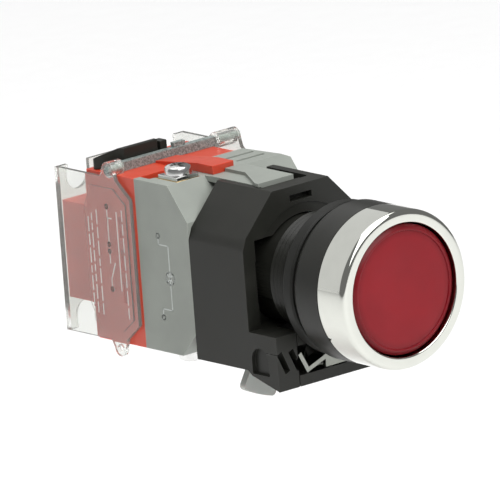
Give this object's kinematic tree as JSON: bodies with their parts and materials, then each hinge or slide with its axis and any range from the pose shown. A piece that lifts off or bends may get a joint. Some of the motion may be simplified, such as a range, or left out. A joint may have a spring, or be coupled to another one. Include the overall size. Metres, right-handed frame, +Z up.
{
  "type": "illuminated panel push button",
  "caption": "Panel push button with a chrome bezel, red lens, black mounting collar, grey LED block and red contact block under a clear hinged cover.",
  "frame": {"origin": "centre of the panel hole on the button's axis, on the rear face of the gasket, which is the front face of the panel", "axes": "+Y along the button's axis through the panel to the rear, so the button faces -Y; +Z up, towards the X1 terminal; +X to the right seen from the front"},
  "size_m": [0.031, 0.077, 0.0425],
  "materials": {
    "chrome_trim": "polished chrome plating",
    "red_lens": "translucent red, satin front",
    "white_plastic": "natural white moulding",
    "spring_steel": "drawn wire",
    "black_gloss": "black moulding with a low sheen",
    "gasket_rubber": "smooth black rubber",
    "black_plastic": "fine grained black moulding",
    "light_grey_plastic": "satin light grey",
    "zinc_steel": "zinc plated",
    "grey_plastic": "satin mid grey moulding",
    "circuit_board": "solder mask",
    "resistor_body": "lacquered",
    "capacitor_body": "lacquered",
    "lamp_plastic": "frosted",
    "brass": "stamped sheet",
    "bright_steel": "nickel plated",
    "red_plastic": "red moulding with a soft sheen",
    "galvanised_steel": "speckled galvanised steel",
    "clear_plastic": "clear moulding"
  },
  "bodies": {
    "base": {"bezel_ring": "chrome_trim", "return_spring": "spring_steel", "head_body": "black_gloss", "panel_gasket": "gasket_rubber", "mounting_collar": "black_plastic", "clamp_plate": "zinc_steel", "clamp_screw": "zinc_steel", "clamp_nut": "zinc_steel", "led_housing": "grey_plastic", "led_rear_plate": "grey_plastic", "led_board": "circuit_board", "led_resistors": "resistor_body", "led_capacitor": "capacitor_body", "lamp_holder": "white_plastic", "led_lamp": "lamp_plastic", "led_terminals": "brass", "led_clamp_washers": "bright_steel", "led_terminal_screws": "bright_steel", "contact_housing": "red_plastic", "contact_front_plate": "red_plastic", "carrier_spring": "spring_steel", "closing_spring": "spring_steel", "closing_contacts": "brass", "opening_contacts": "brass", "contact_clamp_washers": "bright_steel", "contact_terminal_screws": "bright_steel", "ear_strap": "galvanised_steel", "terminal_barrier": "black_gloss"},
    "button": {"lens_cap": "red_lens", "diffuser_disc": "white_plastic", "button_stem": "white_plastic", "retaining_clip": "spring_steel", "transfer_fork": "white_plastic", "contact_carrier": "white_plastic", "opening_bridge": "brass", "opening_spring": "spring_steel"},
    "closing_bridge": {"closing_bridge": "brass"},
    "lock_lever": {"lock_lever": "light_grey_plastic"},
    "cover": {"terminal_cover": "clear_plastic"}
  },
  "joints": [
    {"name": "button_press", "type": "slide", "parent": "base", "child": "button", "axis": [0, 1, 0], "range_m": [0, 0.004], "stiffness_N_per_m": 900, "springref_m": -0.003, "deforming": ["return_spring", "carrier_spring"]},
    {"name": "closing_bridge_slide", "type": "slide", "parent": "base", "child": "closing_bridge", "axis": [0, 1, 0], "range_m": [0, 0.0024], "deforming": ["closing_spring"]},
    {"name": "lock_lever_turn", "type": "hinge", "parent": "base", "child": "lock_lever", "pos_m": [0, 0.01536, 0], "axis": [0, -1, 0], "range_deg": [0, 38]},
    {"name": "cover_swing", "type": "hinge", "parent": "base", "child": "cover", "pos_m": [0, 0.04471, 0.0165], "axis": [1, 0, 0], "range_deg": [0, 100]}
  ],
  "couplings": [
    {"joint": "closing_bridge_slide", "follows": "button_press", "ratio": 0.6}
  ]
}
